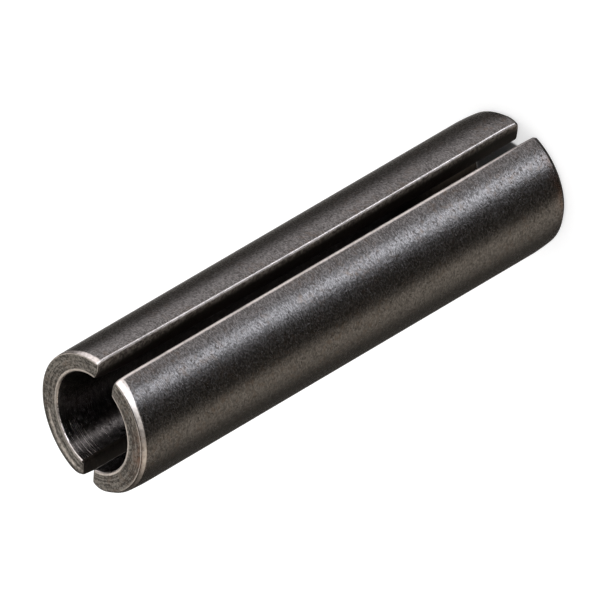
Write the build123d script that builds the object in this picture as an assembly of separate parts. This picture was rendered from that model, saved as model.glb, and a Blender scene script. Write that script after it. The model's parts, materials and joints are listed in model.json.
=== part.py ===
from build123d import *
from math import hypot, radians, tan
import os

# Slotted spring pin, rolled from one strip of spring steel. It stands on one end
# with its axis on Z and the middle of its length at Z = 0. The long slot faces -Y,
# and angles about the axis are in degrees from the slot, positive towards -X.

# Driving dimensions, mm
length = 50.0
free_diameter = 12.6
wall = 2.1
slot_angle = 17.0
slit_angle = 167.0
slit_width = 1.2
slit_length = 12.0

# Swaged ends: a short lead chamfer, then a long crown that runs out into the barrel
chamfer_length = 0.45
chamfer_drop = 0.34
crown_length = 2.7
crown_drop = 0.14

# Edges rounded by tumbling
lip_round = 0.28
slit_round = 0.60
bore_round = 0.22
end_round = 0.18

outer_radius = free_diameter / 2
bore_radius = outer_radius - wall
half_length = length / 2
crown_radius = outer_radius - crown_drop
face_radius = crown_radius - chamfer_drop
overrun = 1.0
touching = 0.001


def rolled_tube():
    """The wall as one plain ring along the axis."""
    with BuildSketch(Plane.XY) as ring:
        Circle(outer_radius)
        Circle(bore_radius, mode=Mode.SUBTRACT)
    return extrude(ring.sketch, half_length, both=True)


def slot_cutter():
    """The gap between the strip's two edges, which stay square to the wall."""
    reach = outer_radius + overrun
    spread = reach * tan(radians(slot_angle / 2))
    with BuildSketch(Plane.XY) as gap:
        with BuildLine():
            Polyline((0, 0), (spread, -reach), (-spread, -reach), close=True)
        make_face()
    return extrude(gap.sketch, half_length + overrun, both=True)


def slit_cutter():
    """A round-ended slit that starts at the upper end and stops partway down."""
    cutter_length = slit_length + overrun
    middle = half_length - slit_length + cutter_length / 2
    outward = Vector(0, -1, 0).rotate(Axis.Z, -slit_angle)
    across = Plane((0, 0, 0), x_dir=(0, 0, 1), z_dir=outward)
    outline = across * Pos(X=middle) * SlotOverall(cutter_length, slit_width)
    return extrude(outline, outer_radius + overrun)


def end_envelope():
    """The turned space that both swaged ends fit inside."""
    crown_start = half_length - crown_length
    crown_end = half_length - chamfer_length
    with BuildSketch(Plane.XZ) as profile:
        with BuildLine():
            TangentArc((outer_radius, crown_start), (crown_radius, crown_end), tangent=(0, 1))
            Polyline((crown_radius, crown_end), (face_radius, half_length), (0, half_length))
            mirror(about=Plane.XZ)
            Line((outer_radius, -crown_start), (outer_radius, crown_start))
            Line((0, -half_length), (0, half_length))
        make_face()
    return revolve(profile.sketch, Axis.Z)


def rims(body, cutter, inner, outer):
    """The edges that a cutter left on the body, from an inner to an outer radius."""
    found = ShapeList()
    for edge in body.edges():
        radii = [hypot(point.X, point.Y) for point in (edge @ 0, edge @ 1)]
        in_band = min(radii) > inner - touching and max(radii) < outer + touching
        if in_band and cutter.distance_to(edge @ 0.5) < touching:
            found.append(edge)
    return found


slot = slot_cutter()
slit = slit_cutter()
pin = (rolled_tube() - slot - slit) & end_envelope()
pin = fillet(rims(pin, slot, face_radius, outer_radius), lip_round)
pin = fillet(rims(pin, slit, face_radius, outer_radius), slit_round)
bore_rims = rims(pin, slot, bore_radius, bore_radius) + rims(pin, slit, bore_radius, bore_radius)
pin = fillet(bore_rims, bore_round)
pin = fillet(pin.faces().filter_by(Plane.XY).edges(), end_round)

os.makedirs("parts", exist_ok=True)
export_step(pin, "parts/spring_pin.step")
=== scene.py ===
import bmesh
import bpy
import json
import numpy as np
from math import cos, pi, radians, sin
from mathutils import Matrix, Vector


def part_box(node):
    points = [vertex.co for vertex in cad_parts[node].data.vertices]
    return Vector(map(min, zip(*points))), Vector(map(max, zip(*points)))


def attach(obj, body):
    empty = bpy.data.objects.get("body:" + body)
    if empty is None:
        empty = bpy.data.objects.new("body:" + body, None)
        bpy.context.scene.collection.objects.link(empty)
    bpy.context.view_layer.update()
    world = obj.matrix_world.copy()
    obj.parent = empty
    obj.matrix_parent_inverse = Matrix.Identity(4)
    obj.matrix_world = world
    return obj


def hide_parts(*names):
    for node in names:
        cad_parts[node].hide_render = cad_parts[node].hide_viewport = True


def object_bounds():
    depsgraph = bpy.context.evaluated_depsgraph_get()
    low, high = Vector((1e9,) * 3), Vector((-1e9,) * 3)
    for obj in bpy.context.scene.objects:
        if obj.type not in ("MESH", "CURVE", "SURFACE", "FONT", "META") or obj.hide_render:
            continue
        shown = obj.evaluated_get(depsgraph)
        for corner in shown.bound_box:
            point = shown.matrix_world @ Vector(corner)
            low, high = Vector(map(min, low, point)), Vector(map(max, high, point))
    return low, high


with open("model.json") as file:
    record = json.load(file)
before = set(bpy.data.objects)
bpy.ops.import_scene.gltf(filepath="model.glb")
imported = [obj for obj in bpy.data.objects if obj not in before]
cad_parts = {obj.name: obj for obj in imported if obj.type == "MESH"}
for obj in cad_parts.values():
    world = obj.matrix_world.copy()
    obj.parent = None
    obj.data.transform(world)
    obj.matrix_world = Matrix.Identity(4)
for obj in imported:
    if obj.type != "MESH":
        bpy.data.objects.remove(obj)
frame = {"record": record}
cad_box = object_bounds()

scene = bpy.context.scene


# ---------------------------------------------------------------------------
# The pin: one strip of spring steel, rolled into a tube that stays open along
# its slot, nosed at both ends and slit for a short way from the upper end.
# Tumbling has rounded every edge that the shears and the slitting saw left.
# ---------------------------------------------------------------------------

# Sizes are in mm. Angles on the pin run about its axis from the slot, positive towards -X
MM = 0.001
mounts = {mount["name"]: mount for mount in frame["record"]["mounts"]}
barrel_radius = mounts["shank"]["dims"]["r_mm"]
bore_radius = mounts["bore"]["dims"]["r_mm"]
crown_start = mounts["shank"]["dims"]["length_mm"] / 2
half_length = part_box("spring_pin")[1].z / MM
chamfer_length = 0.45
chamfer_drop = 0.34
crown_drop = 0.14
slit_angle = radians(167.0)
slit_half = 0.60
slit_length = 12.0
lip_round = 0.28
slit_round = 0.60
bore_round = 0.22
end_round = 0.18

chamfer_start = half_length - chamfer_length
chamfer_slope = chamfer_drop / chamfer_length
crown_run = chamfer_start - crown_start
crown_curve = (crown_run ** 2 + crown_drop ** 2) / (2 * crown_drop)
slit_centre = half_length - slit_length + slit_half

# How finely the strip is divided: first the steps between its rows, then how many steps it takes
# from lip to window, below the window, from there to the slit, over an end, and round its rims.
# The window is a margin round the slit, with rows and columns of its own
window = 1.3
row_step = 0.30
window_row_step = 0.22
crease_step = 0.10
bore_row_share = 0.88
main_steps = 60
window_steps = 10
near_steps = 5
face_steps = 8
rim_steps = 8
arc_steps = 3
weld_distance = 0.0001

window_base = slit_centre - slit_half - window
rim_turns = [radians(90 * k / rim_steps) for k in range(rim_steps + 1)]


def evenly(start, stop, step):
    """Values from start to stop, both included, about one step apart."""
    return np.linspace(start, stop, max(1, round(abs(stop - start) / step)) + 1)


def joined(*runs):
    """Runs of values end to end, with the value that two of them share kept once."""
    return np.concatenate([runs[0], *[run[1:] for run in runs[1:]]])


def along(value, start, stop):
    """How far a value has come from start to stop, held between 0 and 1."""
    return np.clip((value - start) / (stop - start), 0, 1)


# The heights of the rows, with one on the chamfer's crease and one close to it on each side
crease_rows = np.array([chamfer_start - crease_step, chamfer_start, chamfer_start + crease_step])
upper_rows = joined(evenly(crown_start, chamfer_start - crease_step, row_step), crease_rows)
window_rows = evenly(window_base, slit_centre, window_row_step)
middle_rows = joined(evenly(-crown_start, window_base, row_step), window_rows,
                     evenly(slit_centre, crown_start, row_step))
side_rows = joined(-upper_rows[::-1], middle_rows, upper_rows)
window_row = arc_steps + 1 + int(np.argmin(abs(side_rows - window_base)))
centre_row = arc_steps + 1 + int(np.argmin(abs(side_rows - slit_centre)))

# The strip's edges at the slot. The front one leans out a little towards the foot. The back
# one has sprung open, more and more from just below mid length up, and flares at the slit end
front_edge = radians(8.6)
front_lean = radians(0.004)
back_edge = radians(8.5)
sprung = radians(3.1)
sprung_from, sprung_to, sprung_power = -2.0, 22.0, 1.4
flared = radians(1.2)
flared_from = 20.0


def lip_angle(side, z):
    """How far the front edge (side 1) or the back edge (side -1) stands from the slot's middle."""
    if side == 1:
        return front_edge - front_lean * z
    opening = along(z, sprung_from, sprung_to) ** sprung_power
    return back_edge + sprung * opening + flared * along(z, flared_from, half_length) ** 2


def outer_radius(z):
    """The radius of the outside at a height: barrel, crown, then lead chamfer."""
    height = np.abs(z)
    into_crown = np.clip(height - crown_start, 0, crown_run)
    crown = crown_curve - np.sqrt(crown_curve ** 2 - into_crown ** 2)
    return barrel_radius - crown - np.clip(height - chamfer_start, 0, None) * chamfer_slope


def outline(outer_in=0.0, end_in=0.0, bore_in=0.0):
    """The wall's outline as four runs of radius and height: up the outside, in over the
    upper end, down the bore and out under the lower end, each let in by its own amount."""
    # The two rounded rims of the end face, and the face between them
    top = half_length - end_in
    edge = outer_radius(half_length) - outer_in + end_in * chamfer_slope
    lean = np.arctan(chamfer_slope)
    reach = end_round * np.tan((pi / 2 - lean) / 2)
    turn = np.linspace(lean, pi / 2, 2 * arc_steps + 1)
    outer_rim = np.c_[edge - reach + end_round * np.cos(turn), top - end_round + end_round * np.sin(turn)]
    turn = np.linspace(pi / 2, pi, 2 * arc_steps + 1)
    inner_radius = bore_radius + bore_in
    bore_rim = np.c_[inner_radius + end_round * (1 + np.cos(turn)), top - end_round * (1 - np.sin(turn))]
    face = np.linspace(outer_rim[-1], bore_rim[0], face_steps + 1)

    # The bore's rows are closer together near the ends, so that they stop short of its rims
    past_crown = np.abs(side_rows) > crown_start
    drawn_in = np.sign(side_rows) * (crown_start + (np.abs(side_rows) - crown_start) * bore_row_share)
    bore_rows = np.where(past_crown, drawn_in, side_rows)
    outer = np.c_[outer_radius(side_rows) - outer_in, side_rows]
    bore = np.c_[np.full_like(bore_rows, inner_radius), bore_rows][::-1]

    # Each rim is shared by the two runs that meet on it. The lower end mirrors the upper one
    low = (1, -1)
    outer = np.concatenate([outer_rim[arc_steps::-1] * low, outer, outer_rim[:arc_steps + 1]])
    over = joined(outer_rim[arc_steps:], face, bore_rim[:arc_steps + 1])
    bore = np.concatenate([bore_rim[arc_steps:], bore, bore_rim[:arc_steps - 1:-1] * low])
    return outer, over, bore, over[::-1] * low


side_count, over_count = len(outline()[0]), len(outline()[1])


def rim_sizes(edge_round):
    """How far the rounding reaches along each of the four runs, least on the end faces."""
    blend_out = np.linspace(edge_round, end_round, 2 * arc_steps + 1)
    blend_in = np.linspace(end_round, bore_round, 2 * arc_steps + 1)
    tip = arc_steps + 1
    outer = np.full(side_count, edge_round)
    outer[:tip], outer[-tip:] = blend_out[arc_steps::-1], blend_out[:tip]
    bore = np.full(side_count, bore_round)
    bore[:tip], bore[-tip:] = blend_in[arc_steps:], blend_in[:arc_steps - 1:-1]
    over = np.full(over_count, end_round)
    over[:tip], over[-tip:] = blend_out[arc_steps:], blend_in[:tip]
    return outer, over, bore, over[::-1]


def ring(turn, edge_round):
    """The outline let in by a rounding that has turned this far, with the distance that
    each of its points still keeps from the cut face."""
    let_in = 1 - cos(turn)
    runs = outline(edge_round * let_in, end_round * let_in, bore_round * let_in)
    return [(run, size * (1 - sin(turn))) for run, size in zip(runs, rim_sizes(edge_round))]


def around(runs):
    """The four runs as one closed run."""
    return joined(*[np.c_[run, gap] for run, gap in runs])


def beside_slit(runs):
    """The part of the four runs that stands above the slit's foot."""
    outer, over, bore, _ = [np.c_[run, gap] for run, gap in runs]
    return joined(outer[centre_row:], over, bore[:side_count - centre_row])


def below_window(runs):
    """The part of the four runs that stands below the window round the slit's foot."""
    outer, _, bore, under = [np.c_[run, gap] for run, gap in runs]
    return joined(bore[side_count - 1 - window_row:], under, outer[:window_row + 1])


def place(angle, radius, height):
    """Points at an angle, a radius and a height as x, y and z."""
    return np.stack([-radius * np.sin(angle), -radius * np.cos(angle), height + 0 * angle], axis=-1)


def from_lip(side, runs):
    """The angles of points that keep their distances from an edge of the strip, and the points."""
    points = around(runs)
    return side * (lip_angle(side, points[:, 1]) + np.arcsin(points[:, 2] / points[:, 0])), points


def from_slit(side, points):
    """The angles of points that keep their distances from a wall of the slit, and the points."""
    middle = slit_angle if side == 1 else slit_angle - 2 * pi
    return middle - side * np.arcsin((slit_half + points[:, 2]) / points[:, 0]), points


def fill(left, right, low, high):
    """A grid between four edges: left and right run up, low and high run across."""
    rise = np.cumsum(np.r_[0, np.linalg.norm(np.diff(left, axis=0), axis=1)])
    run = np.cumsum(np.r_[0, np.linalg.norm(np.diff(low, axis=0), axis=1)])
    v = (rise / rise[-1])[:, None, None]
    u = (run / run[-1])[None, :, None]
    across = (1 - u) * left[:, None] + u * right[:, None]
    along_sides = (1 - v) * low[None] + v * high[None]
    corners = (1 - v) * ((1 - u) * low[0] + u * low[-1]) + v * ((1 - u) * high[0] + u * high[-1])
    return across + along_sides - corners


# The strip's skin, patch by patch
patches = []


def lay(columns):
    """Keeps one patch of the skin, made of columns of angles and outline points."""
    patches.append(np.array([place(angle, points[:, 0], points[:, 1]) for angle, points in columns]))


for side in (1, -1):
    # Over the lip's rounded edge on to the wall, then round the barrel to the window
    columns = [from_lip(side, ring(turn, lip_round)) for turn in reversed(rim_turns)]
    start, points = columns[-1]
    stop = from_slit(side, points * (1, 1, 0) + (0, 0, window))[0]
    columns += [(start + (stop - start) * share, points) for share in evenly(0, 1, 1 / main_steps)[1:]]
    lay(columns)

    # The cut face of the lip
    outer, over, bore, under = [place(side * lip_angle(side, run[:, 1]), run[:, 0], run[:, 1])
                                for run, _ in ring(pi / 2, lip_round)]
    patches.append(fill(outer, bore[::-1], under[::-1], over))

    # The wall beside the slit, then over its rounded edge
    columns = []
    for share in evenly(0, 1, 1 / near_steps):
        gaps = [window + (size - window) * share for size in rim_sizes(slit_round)]
        columns.append(from_slit(side, beside_slit(zip(outline(), gaps))))
    columns += [from_slit(side, beside_slit(ring(turn, slit_round))) for turn in rim_turns[1:]]
    lay(columns)

# Below the window
wide = slit_half + window
across = evenly(-1, 1, 2 / window_steps) * wide
points = below_window(zip(outline(), rim_sizes(lip_round)))
lay([(slit_angle + np.arcsin(x / points[:, 0]), points) for x in across])

# Round the slit's foot, from the window's edge to the slit's own wall
edge_x = joined(np.full(len(window_rows), -wide), across, np.full(len(window_rows), wide))
edge_z = joined(window_rows[::-1], np.full(len(across), window_base), window_rows)
swing = np.linspace(pi, 2 * pi, len(edge_x))


def foot(radius, edge_round, inward):
    """The rows that follow the slit's foot on one face of the wall."""
    rows = []
    for share in evenly(0, 1, 1 / near_steps):
        x = (slit_half + edge_round) * np.cos(swing)
        z = slit_centre + (slit_half + edge_round) * np.sin(swing)
        rows.append((edge_x + (x - edge_x) * share, edge_z + (z - edge_z) * share, radius + 0 * x))
    for turn in rim_turns[1:]:
        reach = slit_half + edge_round * (1 - sin(turn))
        sunk = radius + inward * edge_round * (1 - cos(turn)) + 0 * swing
        rows.append((reach * np.cos(swing), slit_centre + reach * np.sin(swing), sunk))
    return np.array([place(slit_angle + np.arcsin(x / r), r, z) for x, z, r in rows])


outer_foot = foot(barrel_radius, slit_round, -1)
bore_foot = foot(bore_radius, bore_round, 1)
patches += [outer_foot, bore_foot]

# The slit's own wall: round the foot, and up both sides
through = evenly(0, 1, 1 / (over_count - 1))[None, :, None]
foot_wall = outer_foot[-1][:, None] * (1 - through) + bore_foot[-1][:, None] * through
patches.append(foot_wall)
for side, base in ((1, foot_wall[0]), (-1, foot_wall[-1])):
    outer, over, bore, _ = [np.c_[run, gap] for run, gap in ring(pi / 2, slit_round)]
    edges = []
    for points in (outer[centre_row:], bore[side_count - 1 - centre_row::-1], over):
        angle, points = from_slit(side, points)
        edges.append(place(angle, points[:, 0], points[:, 1]))
    patches.append(fill(edges[0], edges[1], base, edges[2]))

# The slit end as it came off the machine: its nose is fuller on the back edge's side, an angle
# from the slot towards +X, and its face is cut out of square. The corners beside the slit are
# worn, and so is the back edge's corner at the plain end
nose_side = radians(61.8)
nose_fuller = 0.92
nose_fuller_behind = 0.30
mouth_wider = 0.40
nose_tilt = 0.8
tilted_from, tilt_power = 18.0, 1.5
slit_wear, slit_wear_reach, slit_wear_from = 0.42, 1.4, 19.0
foot_wear, foot_wear_reach, foot_wear_from = 0.30, 1.6, 22.5

# The shears left the strip's cut faces a little bulged. On the bore's side their corners at the
# slit end are drawn back
lip_bulge = 0.06
lip_drawn_back, drawn_back_from = 0.30, 21.0
bulge_reach, bulge_power = 1.2, 1.5


def fading(gap, reach):
    """1 at an edge, falling to 0 at a reach away from it."""
    return np.clip(1 - gap / reach, 0, 1)


def in_slit_axes(x, y):
    """Where points lie across the slit, and how far out through it."""
    across = x * np.cos(slit_angle) - y * np.sin(slit_angle)
    out_through = -x * np.sin(slit_angle) - y * np.cos(slit_angle)
    return across, out_through


def nearer_lip(turn, z):
    """The angle of whichever of the strip's edges lies on a point's own side of the slot."""
    return np.where(turn > 0, lip_angle(1, z), lip_angle(-1, z))


def true_up(points):
    """Takes points of the drawn pin to where they are on the pin as made."""
    x, y, z = points.T
    radius = np.hypot(x, y)
    plain = outer_radius(z)
    share = (radius - bore_radius) / (plain - bore_radius)

    # The nose and the bore's mouth
    faces_nose_side = (x * sin(nose_side) - y * cos(nose_side)) / radius
    towards = np.clip(faces_nose_side, 0, 1) ** 2
    behind = np.clip(-faces_nose_side, 0, 1) ** 2
    fuller = (nose_fuller * towards + nose_fuller_behind * behind) * (z > 0)
    outer = barrel_radius - (barrel_radius - plain) * (1 - fuller)
    bore = bore_radius + mouth_wider * towards * along(z, crown_start, half_length) ** 2

    # The worn corners beside the slit
    slit_x, slit_y = in_slit_axes(x, y)
    corner = fading(np.abs(slit_x) - slit_half, slit_wear_reach) ** 2
    outer = outer - slit_wear * corner * (slit_y > 0) * along(z, slit_wear_from, half_length)
    new_radius = bore + share * (outer - bore)

    # The face out of square, and the worn corner at the foot of the back edge
    drop = nose_tilt * (1 + faces_nose_side) / 2 * along(z, tilted_from, half_length) ** tilt_power
    from_back_edge = radius * (np.arctan2(x, -y) - lip_angle(-1, z))
    corner = fading(np.abs(from_back_edge), foot_wear_reach) ** 2
    drop = drop - foot_wear * corner * along(-z, foot_wear_from, half_length) ** 2

    # The cut faces: fullest at mid thickness, and drawn back on the bore's side
    turn = np.arctan2(-x, -y)
    by_lip = fading(radius * (np.abs(turn) - nearer_lip(turn, z)), bulge_reach) ** bulge_power
    drawn_back = lip_drawn_back * along(z, drawn_back_from, half_length) * (1 - share) ** 2
    bulge = by_lip * (4 * lip_bulge * share * (1 - share) - drawn_back)
    turn = turn - np.where(turn > 0, 1, -1) * bulge / radius
    return np.stack([-np.sin(turn) * new_radius, -np.cos(turn) * new_radius, z - drop], axis=1)


def grid_quads(rows, columns, first=0):
    """The faces between a grid's points, which are numbered row by row from the first one."""
    return [(k, k + 1, k + columns + 1, k + columns)
            for i in range(rows - 1) for k in range(first + i * columns, first + (i + 1) * columns - 1)]


def set_out(name, data):
    """Puts a thing in its place in the scene."""
    made = bpy.data.objects.new(name, data)
    scene.collection.objects.link(made)
    return made


corners, quads = [], []
for grid in patches:
    quads += grid_quads(*grid.shape[:2], first=len(corners))
    corners.extend(grid.reshape(-1, 3))
mesh = bpy.data.meshes.new("rolled_strip")
mesh.from_pydata(np.array(corners) * MM, [], quads)
weld = bmesh.new()
weld.from_mesh(mesh)
bmesh.ops.remove_doubles(weld, verts=weld.verts, dist=weld_distance * MM)
bmesh.ops.recalc_face_normals(weld, faces=weld.faces)
weld.to_mesh(mesh)
weld.free()
mesh.shade_smooth()
as_drawn = np.array([v.co for v in mesh.vertices]) / MM
mesh.vertices.foreach_set("co", (true_up(as_drawn) * MM).astype(np.float32).ravel())
mesh.update()
strip = set_out("rolled_strip", mesh)
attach(strip, "root")
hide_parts("spring_pin")

# How far each point of the drawn pin stands from every surface
out_of_reach = 5.0
x, y, z = as_drawn.T
radius = np.hypot(x, y)
turn = np.arctan2(-x, -y)
lip = nearer_lip(turn, z)
turn = np.abs(turn)
slit_x, slit_y = in_slit_axes(x, y)
to_outer = outer_radius(z) - radius
to_bore = radius - bore_radius
to_end = half_length - np.abs(z)
to_lip = radius * np.sin(np.clip(turn - lip, 0, pi / 2))
to_slit = np.hypot(slit_x, np.minimum(z - slit_centre, 0)) - slit_half
to_slit[slit_y < 0] = out_of_reach

# Which surface each face lies on: the nearest one at its middle, and the slit's own wall where
# that meets the bore
bore_surface, slit_surface = 1, 4
slit_margin = 0.25
surfaces = np.stack([to_outer, to_bore, to_end, to_lip, to_slit], axis=1)
middle = np.array([surfaces[list(face.vertices)].mean(axis=0) for face in mesh.polygons])
nearest = np.argmin(np.abs(middle), axis=1)
in_slit = (middle[:, bore_surface] < slit_margin) & (middle[:, slit_surface] < slit_margin)
nearest[in_slit] = slit_surface
mesh.polygons.foreach_set("material_index", nearest.astype(np.int32))

# Where the oxide has worn off. Each rim is a gap in mm, stretched where less is worn: along the
# back edge and round the ends, at the plain end most. The front edge is worn less near its foot
upper = z > 0
to_rim = np.maximum(to_outer, to_end)
back_stretch = np.where(x > 0, 1.7, 1.0)
end_stretch = np.where(z < 0, 3.0, 1.35)
front_fade_from = 17.0
front_fade = 0.022 * (x < 0) * np.clip(-z - front_fade_from, 0, None)

# The nose is worn on both sides of its crease, in a line that narrows further round from the lip
round_nose = along(np.degrees(turn), 16, 38)
past_crease = to_end - (half_length - chamfer_start) + 0.20 * round_nose
chamfer_stretch = 1 + 2.6 * round_nose
crown_stretch = 2.2 + 2.4 * round_nose
nose_gap = np.where(past_crease < 0, -past_crease * chamfer_stretch, past_crease * crown_stretch)

# Damp has browned the rims in one place at each end, so many degrees round from the slot
rust_turn = np.where(upper, 73, 55)
rust_spread = 20
rusty_side = np.exp(-((np.degrees(turn) - rust_turn) / rust_spread) ** 2) * (x < 0)
rust_gap = np.where(upper, to_rim + to_end, np.maximum(to_outer, 0.7 * to_end))


def turned_from(way):
    """0 where the wall faces a level direction, 1 at its sides and 2 behind."""
    return 1 - (x * way[0] + y * way[1]) / radius


# The end face is rubbed in a ring on its back, and the bore is scored on its back near the mouth
from_back = turned_from((0.477, 0.879))
rubbed_ring = 0.54
from_scores = turned_from((0.233, 0.972))
scores_start, scores_stop = 0.8, 1.5
past_scores = 0.12 * np.clip(half_length - z - scores_stop, 0, None)
short_of_scores = 0.2 * np.clip(scores_start - to_end, 0, None)

# Painted shade lies in the slot, less deep where the slot has sprung open, and inside the foot
unshaded_depth = 0.65 + 0.45 * along(z, 14, 24)
foot_stretch = 3.0
rims = {
    "rust_rim": rusty_side * np.clip(1.1 - rust_gap, 0, 1),
    "lip_rim": back_stretch * np.maximum(2.2 * to_outer, to_lip) + front_fade,
    "cut_rim": np.maximum(to_outer, 3.0 * to_lip),
    "end_rim": end_stretch * to_rim + 0.4 * np.clip(1 - from_back, 0, 1),
    "nose_rim": np.where((x < 0) & upper, np.maximum(to_outer, nose_gap), end_stretch * to_rim),
    # Painted shade round the barrel's foot, where it meets the table
    "foot_rim": np.where(z < 0, to_rim, out_of_reach),
    "slit_rim": np.maximum(to_outer, to_slit),
    "bore_rim": np.maximum(to_bore, to_end),
    "corner_rim": np.maximum(to_end, np.minimum(to_lip, to_slit)),
    "rubbed_side": 0.14 + 0.8 * from_back + np.abs(to_outer - rubbed_ring),
    # Painted shade along the end face's outer edge, on its back
    "shaded_edge": to_outer + 0.5 * from_back,
    "mouth_rub": 1.6 * from_scores + past_scores + short_of_scores,
    # Painted shade inside the bore towards its foot
    "bore_foot": np.where(z < 0, to_end / foot_stretch, out_of_reach),
    "slit_edge": np.where(slit_x > 0, np.maximum(to_bore, to_slit), out_of_reach),
    # Painted shade, deeper in the slot
    "depth": to_outer / unshaded_depth,
}
for name, gaps in rims.items():
    layer = mesh.attributes.new(name, "FLOAT", "POINT")
    layer.data.foreach_set("value", np.clip(gaps, 0, out_of_reach).astype(np.float32))


# The finish: oil-black oxide over rolled steel. It is satin and finely grained on the barrel,
# drawn in rings in the bore, faced in rings on the ends, and worn to bare metal on the rims

def feed(tree, socket, value):
    """Gives an input what it takes: a number, a colour, or an output to link."""
    if isinstance(value, bpy.types.NodeSocket):
        tree.links.new(value, socket)
    elif isinstance(value, tuple):
        socket.default_value = (*value, 1)
    else:
        socket.default_value = value


def add(tree, kind, settings=None, **inputs):
    """Adds a shader node. Its inputs go by name, or by number as in _0."""
    made = tree.nodes.new("ShaderNode" + kind)
    for name, value in (settings or {}).items():
        setattr(made, name, value)
    for name, value in inputs.items():
        key = int(name[1:]) if name[1:].isdigit() else name.replace("_", " ")
        feed(tree, made.inputs[key], value)
    return made


def new_group(name, inputs, outputs):
    """A node group with named inputs, numbers or colours at their usual values, and outputs."""
    tree = bpy.data.node_groups.new(name, "ShaderNodeTree")
    for socket, value in inputs.items():
        kind = "Color" if isinstance(value, tuple) else "Float"
        made = tree.interface.new_socket(socket, in_out="INPUT", socket_type="NodeSocket" + kind)
        feed(tree, made, value)
    for socket, kind in outputs.items():
        tree.interface.new_socket(socket, in_out="OUTPUT", socket_type="NodeSocket" + kind)
    return tree, tree.nodes.new("NodeGroupInput").outputs, tree.nodes.new("NodeGroupOutput").inputs


def new_material(name):
    """A material made of nodes, and their tree."""
    material = bpy.data.materials.new(name)
    material.use_nodes = True
    return material, material.node_tree


def use_group(tree, group, **values):
    """Places a node group in a tree, with some of its inputs set."""
    used = tree.nodes.new("ShaderNodeGroup")
    used.node_tree = group
    for name, value in values.items():
        feed(tree, used.inputs[name], value)
    return used


def maths(tree, operation, first, second):
    """One step of arithmetic on values that change over the surface."""
    return add(tree, "Math", {"operation": operation}, _0=first, _1=second).outputs[0]


def ramp(tree, value, low, high, low_value=0.0, high_value=1.0):
    """A value eased from its one level to the other as the input goes from low to high."""
    return add(tree, "MapRange", {"interpolation_type": "SMOOTHSTEP"}, Value=value,
               From_Min=low, From_Max=high, To_Min=low_value, To_Max=high_value).outputs["Result"]


def mixed(tree, share, first, second):
    """One colour going over into another."""
    return add(tree, "Mix", {"data_type": "RGBA"}, _0=share, _6=first, _7=second).outputs[2]


def read(tree, name):
    """A value that was kept on the mesh, such as the gap to a rim."""
    return add(tree, "Attribute", {"attribute_name": name}).outputs["Fac"]


# Grain: noise measured in mm, drawn out round the pin
noise_roughness = 0.6
grain, given, out = new_group("grain", {"Size": 0.2, "Stretch": 2.0, "Detail": 2.0, "Seed": 0.0},
                              {"Value": "Float"})
apart = add(grain, "SeparateXYZ", _0=add(grain, "TexCoord").outputs["Object"]).outputs
scale = maths(grain, "DIVIDE", 1 / MM, given["Size"])
around_scale = maths(grain, "DIVIDE", scale, given["Stretch"])
stretched = add(grain, "CombineXYZ", _0=maths(grain, "MULTIPLY", apart["X"], around_scale),
                _1=maths(grain, "MULTIPLY", apart["Y"], around_scale),
                _2=maths(grain, "MULTIPLY", apart["Z"], scale)).outputs[0]
speck = add(grain, "TexNoise", {"noise_dimensions": "4D"}, Vector=stretched, W=given["Seed"], Scale=1.0,
            Detail=given["Detail"], Roughness=noise_roughness)
grain.links.new(speck.outputs["Fac"], out["Value"])


def grained(tree, size, seed, stretch=1.0, detail=3.0):
    """Grain of a size in mm, placed in a tree."""
    return use_group(tree, grain, Size=size, Stretch=stretch, Detail=detail, Seed=seed).outputs["Value"]


# Facing marks: rings that the cutter left on an end, each broken as it runs round
facing, given, out = new_group("facing_marks", {"Width": 0.15, "Run": 2.0, "Seed": 0.0}, {"Value": "Float"})
apart = add(facing, "SeparateXYZ", _0=add(facing, "TexCoord").outputs["Object"]).outputs
level = add(facing, "CombineXYZ", _0=apart["X"], _1=apart["Y"]).outputs[0]
from_axis = add(facing, "VectorMath", {"operation": "LENGTH"}, _0=level).outputs["Value"]
across_scale = maths(facing, "DIVIDE", 1 / MM, given["Width"])
run_scale = maths(facing, "DIVIDE", 1 / MM, given["Run"])
marked = add(facing, "CombineXYZ", _0=maths(facing, "MULTIPLY", from_axis, across_scale),
             _1=maths(facing, "MULTIPLY", apart["X"], run_scale),
             _2=maths(facing, "MULTIPLY", apart["Y"], run_scale)).outputs[0]
ridge = add(facing, "TexNoise", {"noise_dimensions": "4D"}, Vector=marked, W=given["Seed"], Scale=1.0,
            Detail=3.0, Roughness=noise_roughness)
facing.links.new(ridge.outputs["Fac"], out["Value"])

# Rim wear: bare metal within a ragged distance of a rim, in patches
wear, given, out = new_group("rim_wear", {"Gap": 1.0, "Reach": 0.2, "Feather": 0.08, "Ragged": 0.1,
                                          "Patchy": 0.3}, {"Mask": "Float"})
fine = grained(wear, size=0.35, seed=1.7)
coarse = grained(wear, size=2.6, detail=2.0, seed=4.1)
wander = maths(wear, "MULTIPLY", maths(wear, "SUBTRACT", fine, 0.5), given["Ragged"])
gap = maths(wear, "ADD", given["Gap"], wander)
limit = maths(wear, "ADD", given["Reach"], given["Feather"])
near = ramp(wear, gap, low=given["Reach"], high=limit, low_value=1.0, high_value=0.0)
missed = maths(wear, "SUBTRACT", 1.0, ramp(wear, coarse, low=0.38, high=0.56))
kept = maths(wear, "SUBTRACT", 1.0, maths(wear, "MULTIPLY", missed, given["Patchy"]))
wear.links.new(maths(wear, "MULTIPLY", near, kept), out["Mask"])


def worn(tree, rim, reach, feather, ragged, patchy):
    """Wear that reaches this many mm from a rim, placed in a tree."""
    return use_group(tree, wear, Gap=read(tree, rim), Reach=reach, Feather=feather, Ragged=ragged,
                     Patchy=patchy).outputs["Mask"]


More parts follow.
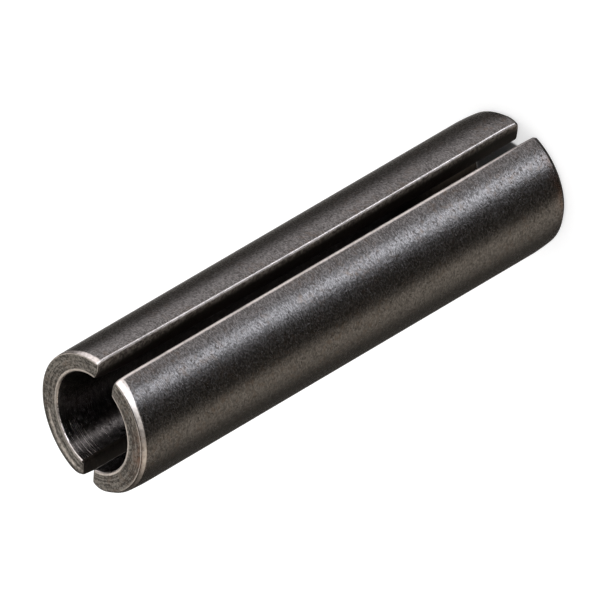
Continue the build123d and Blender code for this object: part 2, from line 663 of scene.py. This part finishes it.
# The oxide coat: it goes from dark to light with its speckle, is pitted and browned in clouds,
# and is stained where damp has got at the rims
pit_colour = (0.030, 0.024, 0.020)
stain_colour = (0.150, 0.085, 0.058)
pit_strength = 0.75
brown_strength = 0.6
coat, given, out = new_group("oxide_coat", {"Lightness": 0.5, "Damp": 0.0, "Dark": (0.06, 0.06, 0.06),
                                            "Light": (0.15, 0.14, 0.13), "Rust": (0.09, 0.07, 0.05)},
                             {"Colour": "Color", "Pits": "Float"})
tone = mixed(coat, given["Lightness"], given["Dark"], given["Light"])
pits = ramp(coat, grained(coat, size=0.24, stretch=1.2, seed=6.1), low=0.58, high=0.66)
tone = mixed(coat, maths(coat, "MULTIPLY", pits, pit_strength), tone, pit_colour)
clouds = ramp(coat, grained(coat, size=3.2, seed=0.4), low=0.40, high=0.60)
brown = ramp(coat, grained(coat, size=0.42, detail=4.0, seed=7.3), low=0.48, high=0.64)
brown = maths(coat, "MULTIPLY", brown, clouds)
tone = mixed(coat, maths(coat, "MULTIPLY", brown, brown_strength), tone, given["Rust"])
blotches = ramp(coat, grained(coat, size=0.6, seed=8.4), low=0.35, high=0.60, low_value=0.2)
stain = maths(coat, "MULTIPLY", given["Damp"], blotches)
coat.links.new(mixed(coat, stain, tone, stain_colour), out["Colour"])
coat.links.new(pits, out["Pits"])

bare_steel = (0.62, 0.57, 0.53)
# Near black for painted shade: in the slot, inside the bore's foot, round the barrel's foot and along one
# end face edge
painted_shade_colour = (0.012, 0.009, 0.007)
gloss_level = 0.1
even_contrast = 0.12
faced_contrast = 0.09
pit_depth = 0.5
speckle_roughness = 0.16
wear_roughness = 0.08


def wear_mask(tree, wears, scored):
    """Where the metal is bare: the most worn of all its rims and scores, polished unevenly."""
    masks = [worn(tree, *values) for values in wears]
    if scored:
        lines = ramp(tree, grained(tree, size=0.15, stretch=75.0, seed=6.6), low=0.53, high=0.61)
        masks.append(maths(tree, "MULTIPLY", worn(tree, *scored), lines))
    mask = masks[0]
    for other in masks[1:]:
        mask = maths(tree, "MAXIMUM", mask, other)
    polish = ramp(tree, grained(tree, size=0.25, seed=9.2), low=0.25, high=0.60, low_value=0.6)
    return maths(tree, "MULTIPLY", mask, polish)


def steel(name, oxide, light, rust, rough, metal, grain_size, stretch, grain_height, wears,
          bare=bare_steel, scored=None, painted_shade=None, faced=False, drawn_rings=0.0):
    """Puts one finish on the pin: its oxide, bare metal where it is worn, and painted shade over both."""
    material, tree = new_material(name)
    shader = tree.nodes["Principled BSDF"]
    shader.inputs["Metallic"].default_value = metal
    shader.inputs["Specular IOR Level"].default_value = gloss_level

    speckle = grained(tree, size=grain_size * 1.1, stretch=stretch, detail=4.0, seed=2.2)
    if faced:
        rings = use_group(tree, facing).outputs["Value"]
        rings = maths(tree, "MULTIPLY", rings, 0.5)
        speckle = maths(tree, "ADD", maths(tree, "MULTIPLY", speckle, 0.5), rings)
    contrast = faced_contrast if faced else even_contrast
    lightness = ramp(tree, speckle, low=0.5 - contrast, high=0.5 + contrast)
    oxidised = use_group(tree, coat, Lightness=lightness, Damp=read(tree, "rust_rim"),
                         Dark=oxide, Light=light, Rust=rust).outputs
    mask = wear_mask(tree, wears, scored)
    tone = mixed(tree, mask, oxidised["Colour"], bare)
    # Painted shade: the colour goes over to near black as a gap kept on the mesh closes
    if painted_shade:
        rim, unshaded, fully_shaded = painted_shade
        tone = mixed(tree, ramp(tree, read(tree, rim), low=unshaded, high=fully_shaded), tone, painted_shade_colour)
    tree.links.new(tone, shader.inputs["Base Color"])

    matt = maths(tree, "MULTIPLY", speckle, speckle_roughness)
    matt = maths(tree, "ADD", rough - speckle_roughness / 2, matt)
    matt = maths(tree, "ADD", matt, maths(tree, "MULTIPLY", mask, wear_roughness))
    tree.links.new(matt, shader.inputs["Roughness"])

    height = grained(tree, size=grain_size, stretch=stretch, seed=5.5)
    height = maths(tree, "SUBTRACT", height, maths(tree, "MULTIPLY", oxidised["Pits"], pit_depth))
    if drawn_rings:
        rings = grained(tree, size=0.24, stretch=60.0, detail=4.0, seed=3.3)
        height = maths(tree, "ADD", height, maths(tree, "MULTIPLY", rings, drawn_rings))
    bump = add(tree, "Bump", Strength=1.0, Distance=grain_height * MM, Height=height)
    tree.links.new(bump.outputs["Normal"], shader.inputs["Normal"])
    mesh.materials.append(material)


# The finishes stand in the order of the surfaces. A wear is a rim, then its reach, feather,
# raggedness and patchiness. Painted shade is a rim, then the gap where it is unshaded and where it is fully
# shaded

# The barrel: satin, bright along the lips and the nose, with painted shade where it meets the table
steel("barrel_oxide", oxide=(0.064, 0.060, 0.056), light=(0.148, 0.139, 0.132), rust=(0.088, 0.066, 0.050),
      rough=0.27, metal=1.0, grain_size=0.12, stretch=1.6, grain_height=0.016,
      wears=[("lip_rim", 0.18, 0.18, 0.10, 0.20),
             ("nose_rim", 0.50, 0.28, 0.30, 0.30),
             ("slit_rim", 0.20, 0.20, 0.20, 0.50)],
      painted_shade=("foot_rim", 0.42, 0.20))

# The bore: drawn in rings, with a few of them scored bright near the mouth, and painted shade towards its
# foot
steel("bore_oxide", oxide=(0.130, 0.121, 0.115), light=(0.265, 0.248, 0.237), rust=(0.085, 0.060, 0.040),
      rough=0.23, metal=1.0, grain_size=0.20, stretch=2.0, grain_height=0.016, drawn_rings=3.2,
      wears=[("bore_rim", 0.12, 0.12, 0.12, 0.50)],
      scored=("mouth_rub", 0.06, 0.34, 0.50, 0.50),
      painted_shade=("bore_foot", 4.6, 3.0))

# The end faces: faced in rings and bright at their rims, with a painted shade line along the outer edge on
# the back
steel("end_face_oxide", oxide=(0.038, 0.034, 0.031), light=(0.215, 0.200, 0.183), rust=(0.120, 0.085, 0.062),
      rough=0.38, metal=1.0, grain_size=0.13, stretch=1.5, grain_height=0.030, faced=True,
      wears=[("end_rim", 0.09, 0.08, 0.12, 0.50),
             ("bore_rim", 0.18, 0.10, 0.12, 0.40),
             ("corner_rim", 0.05, 0.06, 0.12, 0.80),
             ("rubbed_side", 0.18, 0.25, 0.80, 0.30)],
      painted_shade=("shaded_edge", 0.46, -0.05))

# The strip's cut faces: duller, with painted shade towards the bore
steel("cut_face_oxide", oxide=(0.056, 0.047, 0.040), light=(0.250, 0.215, 0.187), rust=(0.120, 0.085, 0.060),
      rough=0.45, metal=0.45, grain_size=0.24, stretch=1.0, grain_height=0.012,
      wears=[("cut_rim", 0.10, 0.16, 0.12, 0.60),
             ("corner_rim", 0.04, 0.06, 0.12, 0.80)],
      # Painted shade, deeper into the slot
      painted_shade=("depth", 0.35, 1.40))

# The slit's own wall: near black, painted shade for the shadowed slit, with bare metal on its edges
steel("sawn_slit_oxide", oxide=(0.006, 0.0045, 0.0035), light=(0.016, 0.012, 0.009),
      rust=(0.016, 0.010, 0.007), bare=(0.30, 0.28, 0.26),
      rough=0.60, metal=0.0, grain_size=0.24, stretch=1.0, grain_height=0.012,
      wears=[("slit_edge", 0.10, 0.10, 0.12, 0.50),
             ("corner_rim", 0.04, 0.06, 0.12, 0.80)])


# ---------------------------------------------------------------------------
# The table: a matt white board that the pin stands on. It glows a little, so
# that it shows pure white, but not in a round under the pin's bore, where it is painted shade.
# ---------------------------------------------------------------------------

table_half = 6000.0
table_white = (0.55, 0.55, 0.55, 1)
table_roughness = 0.9
table_glow = 0.62
dark_middle = 1.45
dark_radius = 4.6
open_radius = 5.0
low = cad_box[0].z
table_mesh = bpy.data.meshes.new("table")
table_corners = ((-1, -1), (1, -1), (1, 1), (-1, 1))
table_points = [(x * table_half * MM, y * table_half * MM, low) for x, y in table_corners]
table_mesh.from_pydata(table_points, [], [(0, 1, 2, 3)])
table = set_out("table", table_mesh)
table_paint, paint = new_material("white_table")
shader = paint.nodes["Principled BSDF"]
shader.inputs["Base Color"].default_value = table_white
shader.inputs["Roughness"].default_value = table_roughness
shader.inputs["Emission Color"].default_value = (1, 1, 1, 1)

# The glow is only seen: it lights nothing. It is left out in a round under the bore, which paints shade
# there
path = add(paint, "LightPath").outputs
seen = maths(paint, "MAXIMUM", path["Is Camera Ray"], path["Is Glossy Ray"])
seen = maths(paint, "MAXIMUM", seen, path["Is Transmission Ray"])
apart = add(paint, "SeparateXYZ", _0=add(paint, "NewGeometry").outputs["Position"]).outputs
from_middle = maths(paint, "SUBTRACT", apart["Y"], dark_middle * MM)
flat = add(paint, "CombineXYZ", _0=apart["X"], _1=from_middle).outputs[0]
out_from_middle = add(paint, "VectorMath", {"operation": "LENGTH"}, _0=flat).outputs["Value"]
open_table = ramp(paint, out_from_middle, low=dark_radius * MM, high=open_radius * MM)
glow = maths(paint, "MULTIPLY", maths(paint, "MULTIPLY", seen, open_table), table_glow)
paint.links.new(glow, shader.inputs["Emission Strength"])
table_mesh.materials.append(table_paint)
table.visible_glossy = False


# ---------------------------------------------------------------------------
# The studio: an even white room, and inside it a dim tent and glowing cards.
# Only the steel's gloss shows the tent and the cards.
# ---------------------------------------------------------------------------

room = bpy.data.worlds.new("white_room")
room.use_nodes = True
room.node_tree.nodes["Background"].inputs["Color"].default_value = (1, 1, 1, 1)
room.cycles.sampling_method = "NONE"
scene.world = room


def gloss_only(made):
    """Hides a thing of the studio from all but the rays that the steel mirrors."""
    for ray in ("camera", "diffuse", "transmission", "volume_scatter", "shadow"):
        setattr(made, "visible_" + ray, False)


# A card's turns are degrees round from the camera, counted as on the pin: where it starts, is
# full, fades and stops. Its foot turns hold up to one rise and its head turns from another, so
# that it leans between. The camera's azimuth runs from the slot's side, positive towards +X
view_azimuth = -28.5
card_columns = 40
card_rows = 64
foot_rise = -41.0
head_rise = -32.0
soft_end = 12.0


def card(name, rises, foot_turns, head_turns, strength, colour, reach):
    """A curved card, soft on every side, that glows between two rises and round its turns."""
    points, glows = [], []
    for rise in np.linspace(*rises, card_rows + 1):
        share = along(rise, foot_rise, head_rise)
        turns = view_azimuth - (np.array(foot_turns) * (1 - share) + np.array(head_turns) * share)
        swing = np.linspace(turns[0], turns[3], card_columns + 1)
        inside = min(rise - rises[0], rises[1] - rise) / soft_end
        glow = np.interp(swing, turns, [0, 1, 1, 0]) * min(inside, 1)
        glows.append(glow * glow * (3 - 2 * glow))
        level = reach * MM * cos(radians(rise))
        points.append(np.c_[level * np.sin(np.radians(swing)), -level * np.cos(np.radians(swing)),
                            np.full(card_columns + 1, reach * MM * sin(radians(rise)))])
    sheet = bpy.data.meshes.new(name)
    sheet.from_pydata(np.concatenate(points), [], grid_quads(card_rows + 1, card_columns + 1))
    made = set_out(name, sheet)
    values = np.concatenate(glows).astype(np.float32)
    sheet.attributes.new("glow", "FLOAT", "POINT").data.foreach_set("value", values)

    light, tree = new_material(name)
    tree.nodes.clear()
    level = maths(tree, "MULTIPLY", read(tree, "glow"), strength)
    lit = add(tree, "Emission", Color=colour, Strength=level)
    clear = add(tree, "BsdfTransparent")
    both = add(tree, "AddShader", _0=lit.outputs[0], _1=clear.outputs[0])
    add(tree, "OutputMaterial", Surface=both.outputs[0])
    light.cycles.emission_sampling = "NONE"
    sheet.materials.append(light)
    gloss_only(made)


# The bright band down the front, and the broad sheen from there round to the back
card("key_strip", rises=(-66, 66), foot_turns=(15, 5, -5, -13), head_turns=(3, -2, -5, -12),
     strength=6.6, colour=(0.91, 0.97, 1.10), reach=250)
card("broad_card", rises=(-66, 66), foot_turns=(-14, -24, -88, -103), head_turns=(-14, -24, -98, -113),
     strength=1.25, colour=(0.99, 0.97, 1.02), reach=260)
card("back_strip", rises=(-66, 66), foot_turns=(-80, -86, -90, -101), head_turns=(-80, -90, -102, -115),
     strength=0.6, colour=(0.99, 0.97, 1.02), reach=270)

# The warm sheen along the other side, and a dim one for the side turned from the camera
card("side_card", rises=(-66, 66), foot_turns=(131, 80, 73, 65), head_turns=(123, 76, 71, 61),
     strength=0.85, colour=(1.10, 1.0, 0.88), reach=280)
rear_turns = (-148, -160, -178, -190)
card("rear_card", rises=(-66, 66), foot_turns=rear_turns, head_turns=rear_turns,
     strength=0.32, colour=(1.0, 0.97, 0.93), reach=300)

# Two cards higher up: one for the nose, and one that the end face mirrors
nose_turns = (48, 24, -60, -84)
card("nose_card", rises=(10, 64), foot_turns=nose_turns, head_turns=nose_turns,
     strength=1.35, colour=(1.0, 0.99, 0.99), reach=310)
face_turns = (232, 200, 160, 130)
card("face_card", rises=(6, 78), foot_turns=face_turns, head_turns=face_turns,
     strength=0.71, colour=(1.04, 1.0, 0.93), reach=320)

tent_reach = 1200.0
tent_colour = (1.08, 1.0, 0.9)
tent_glow = 0.09
tent_mesh = bpy.data.meshes.new("dark_tent")
tent_ball = bmesh.new()
bmesh.ops.create_uvsphere(tent_ball, u_segments=48, v_segments=24, radius=tent_reach * MM)
tent_ball.to_mesh(tent_mesh)
tent_ball.free()
tent = set_out("dark_tent", tent_mesh)
cloth, tree = new_material("tent_cloth")
tree.nodes.clear()
add(tree, "OutputMaterial", Surface=add(tree, "Emission", Color=tent_colour, Strength=tent_glow).outputs[0])
cloth.cycles.emission_sampling = "NONE"
tent_mesh.materials.append(cloth)
gloss_only(tent)


# ---------------------------------------------------------------------------
# The camera: it looks down on the pin through a long lens, so that the pin's
# sides run parallel, and is rolled until the upper end comes out lower left.
# ---------------------------------------------------------------------------

lens, sensor, picture = 1400.0, 36.0, 600
nearest_seen, farthest_seen = 100.0, 10000.0
pixels_per_mm = 12.16
object_middle = (302.90, 300.67)
elevation, azimuth, roll = radians(35.9), radians(view_azimuth), radians(120.41)
back = Vector((sin(azimuth) * cos(elevation), -cos(azimuth) * cos(elevation), sin(elevation)))
level_right = Vector((cos(azimuth), sin(azimuth), 0))
level_up = back.cross(level_right)
right = level_right * cos(roll) - level_up * sin(roll)
up = level_right * sin(roll) + level_up * cos(roll)
distance = lens / sensor * picture / pixels_per_mm * MM
aim = (right * (picture / 2 - object_middle[0]) - up * (picture / 2 - object_middle[1])) / pixels_per_mm * MM
camera = set_out("camera", bpy.data.cameras.new("camera"))
camera.data.lens = lens
camera.data.sensor_width = sensor
camera.data.clip_start = nearest_seen * MM
camera.data.clip_end = farthest_seen * MM
pose = Matrix((right, up, back)).transposed().to_4x4()
pose.translation = aim + back * distance
camera.matrix_world = pose
scene.camera = camera
scene.view_settings.view_transform = "Standard"
